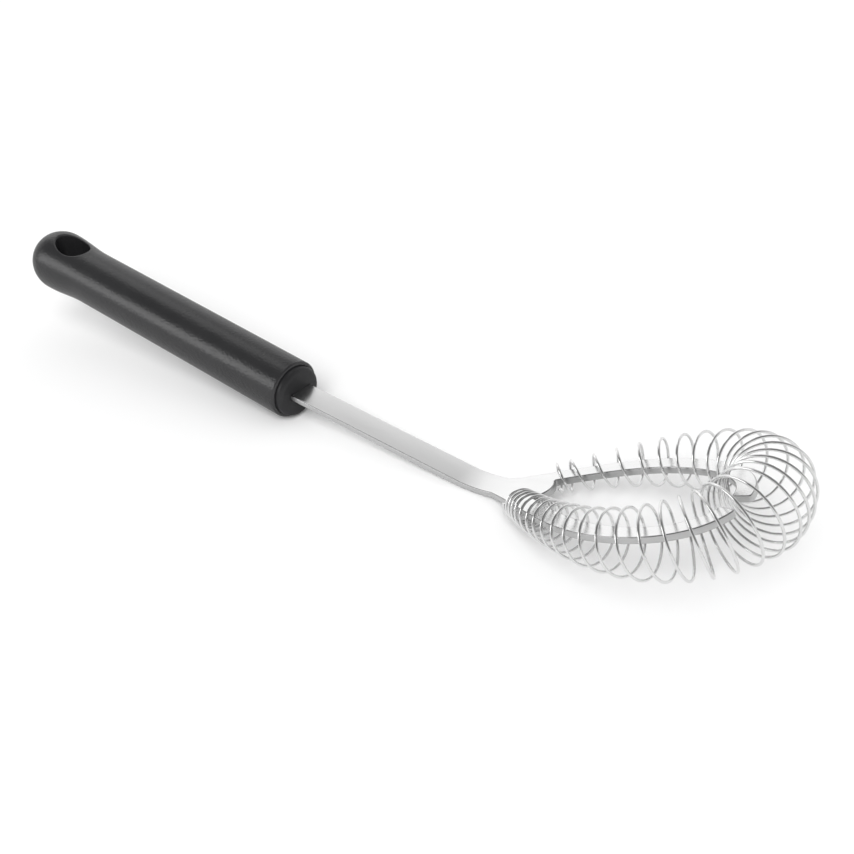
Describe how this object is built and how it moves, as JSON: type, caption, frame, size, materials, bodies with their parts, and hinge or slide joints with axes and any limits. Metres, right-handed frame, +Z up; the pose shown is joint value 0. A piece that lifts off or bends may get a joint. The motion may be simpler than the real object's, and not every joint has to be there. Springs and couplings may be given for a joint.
{
  "type": "whisk",
  "caption": "Hand whisk with a straight black plastic handle, a flat steel strip bent up into an open fork, and a tapering wire coil wound over the fork for beating and whipping.",
  "frame": {"origin": "centre of the whisk's box on the table it lies on, resting on the handle's front rim and the underside of the head bend", "axes": "+X along the tool from the handle's bulb to the coil's tip, +Y across the fork, +Z up from the table"},
  "size_m": [0.2994, 0.0572, 0.038],
  "materials": {
    "handle_plastic": "fine matte moulded grain",
    "plug_plastic": "satin moulded",
    "strip_steel": "satin stainless, brushed along the strip",
    "wire_steel": "bright drawn stainless wire"
  },
  "bodies": {
    "whisk_body": {"handle": "handle_plastic", "front_plug": "plug_plastic", "whisk_frame": "strip_steel"},
    "coil": {"coil_spring": "wire_steel"}
  },
  "joints": [
    {"name": "coil_rock", "type": "hinge", "parent": "whisk_body", "child": "coil", "pos_m": [0.07213, -0.00006, 0.00642], "axis": [0, 1, 0], "range_deg": [-4, 4], "stiffness_Nm_per_rad": 1}
  ]
}
